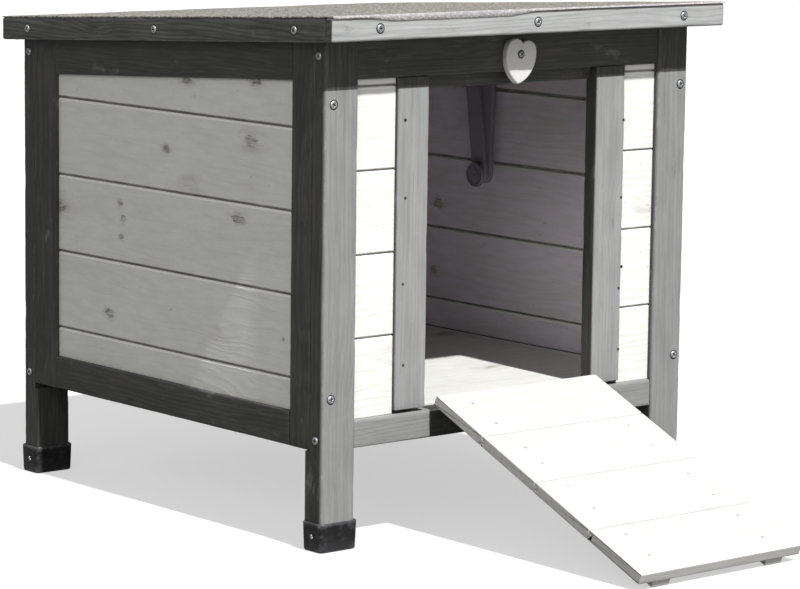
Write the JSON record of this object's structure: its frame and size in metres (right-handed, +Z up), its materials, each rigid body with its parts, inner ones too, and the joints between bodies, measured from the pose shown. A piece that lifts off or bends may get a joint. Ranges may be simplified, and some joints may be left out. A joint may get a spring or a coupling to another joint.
{
  "type": "outdoor cat house",
  "caption": "Raised outdoor cat house of painted boards with a lifting felted roof, a fold-down door ramp and a heart turn button.",
  "frame": {"origin": "on the ground, in the middle of the whole footprint with the door let down as a ramp", "axes": "+X to the right across the front, +Y from the ramp towards the back, +Z up"},
  "size_m": [0.4492, 0.7128, 0.4483],
  "materials": {
    "grey_painted_wood": "satin",
    "white_painted_wood": "satin",
    "mineral_roofing_felt": "matt",
    "black_plastic": "satin",
    "zinc_plated_steel": "satin",
    "dark_coated_metal": "matt"
  },
  "bodies": {
    "house": {"front_left_leg": "grey_painted_wood", "front_right_leg": "grey_painted_wood", "rear_left_leg": "grey_painted_wood", "rear_right_leg": "grey_painted_wood", "foot_caps": "black_plastic", "lintel": "grey_painted_wood", "front_bottom_rail": "grey_painted_wood", "door_trims": "grey_painted_wood", "door_stop": "grey_painted_wood", "front_boards": "white_painted_wood", "left_front_stile": "grey_painted_wood", "left_rear_stile": "grey_painted_wood", "left_top_rail": "grey_painted_wood", "left_bottom_rail": "grey_painted_wood", "left_board_1": "white_painted_wood", "left_board_2": "white_painted_wood", "left_board_3": "white_painted_wood", "left_board_4": "white_painted_wood", "left_board_5": "white_painted_wood", "right_front_stile": "grey_painted_wood", "right_rear_stile": "grey_painted_wood", "right_top_rail": "grey_painted_wood", "right_bottom_rail": "grey_painted_wood", "right_board_1": "white_painted_wood", "right_board_2": "white_painted_wood", "right_board_3": "white_painted_wood", "right_board_4": "white_painted_wood", "right_board_5": "white_painted_wood", "back_stiles": "grey_painted_wood", "back_top_rail": "grey_painted_wood", "back_bottom_rail": "grey_painted_wood", "back_boards": "white_painted_wood", "floor_panel": "white_painted_wood", "floor_ledgers": "grey_painted_wood", "frame_screws": "zinc_plated_steel", "roof_hinge_wall_leaves": "zinc_plated_steel", "stay_wall_screw": "zinc_plated_steel", "door_hinge_rail_leaves": "zinc_plated_steel", "turn_button_screw": "zinc_plated_steel"},
    "roof": {"roof_board": "grey_painted_wood", "roof_felt": "mineral_roofing_felt", "front_fascia": "grey_painted_wood", "rear_fascia": "grey_painted_wood", "left_fascia": "grey_painted_wood", "right_fascia": "grey_painted_wood", "roof_battens": "grey_painted_wood", "fascia_screws": "zinc_plated_steel", "roof_hinge_roof_leaves": "zinc_plated_steel", "stay_roof_bracket": "dark_coated_metal"},
    "door": {"door_board_1": "white_painted_wood", "door_board_2": "white_painted_wood", "door_board_3": "white_painted_wood", "door_board_4": "white_painted_wood", "door_battens": "white_painted_wood", "door_hinge_door_leaves": "zinc_plated_steel"},
    "button": {"turn_button": "white_painted_wood"},
    "stay_lower": {"stay_outer_arm": "dark_coated_metal", "stay_clamp_knob": "dark_coated_metal"},
    "stay_upper": {"stay_inner_arm": "dark_coated_metal"}
  },
  "joints": [
    {"name": "roof_hinge", "type": "hinge", "parent": "house", "child": "roof", "pos_m": [0, 0.34713, 0.3968], "axis": [-1, 0, 0], "range_deg": [0, 60]},
    {"name": "door_hinge", "type": "hinge", "parent": "house", "child": "door", "pos_m": [0.0025, -0.09667, 0.1115], "axis": [-1, 0, 0], "range_deg": [0, 113.2]},
    {"name": "button_pivot", "type": "hinge", "parent": "house", "child": "button", "pos_m": [0.0025, -0.09657, 0.4076], "axis": [0, 1, 0], "continuous": true},
    {"name": "stay_wall_pivot", "type": "hinge", "parent": "house", "child": "stay_lower", "pos_m": [0.1779, 0.13843, 0.3958], "axis": [1, 0, 0], "range_deg": [0, 107.2]},
    {"name": "stay_elbow", "type": "hinge", "parent": "stay_lower", "child": "stay_upper", "pos_m": [0.1723, 0.14196, 0.27265], "axis": [-1, 0, 0], "range_deg": [0, 97.5]}
  ],
  "couplings": [
    {"joint": "stay_wall_pivot", "follows": "roof_hinge", "ratio": 1.7859},
    {"joint": "stay_elbow", "follows": "roof_hinge", "ratio": 1.6234}
  ]
}
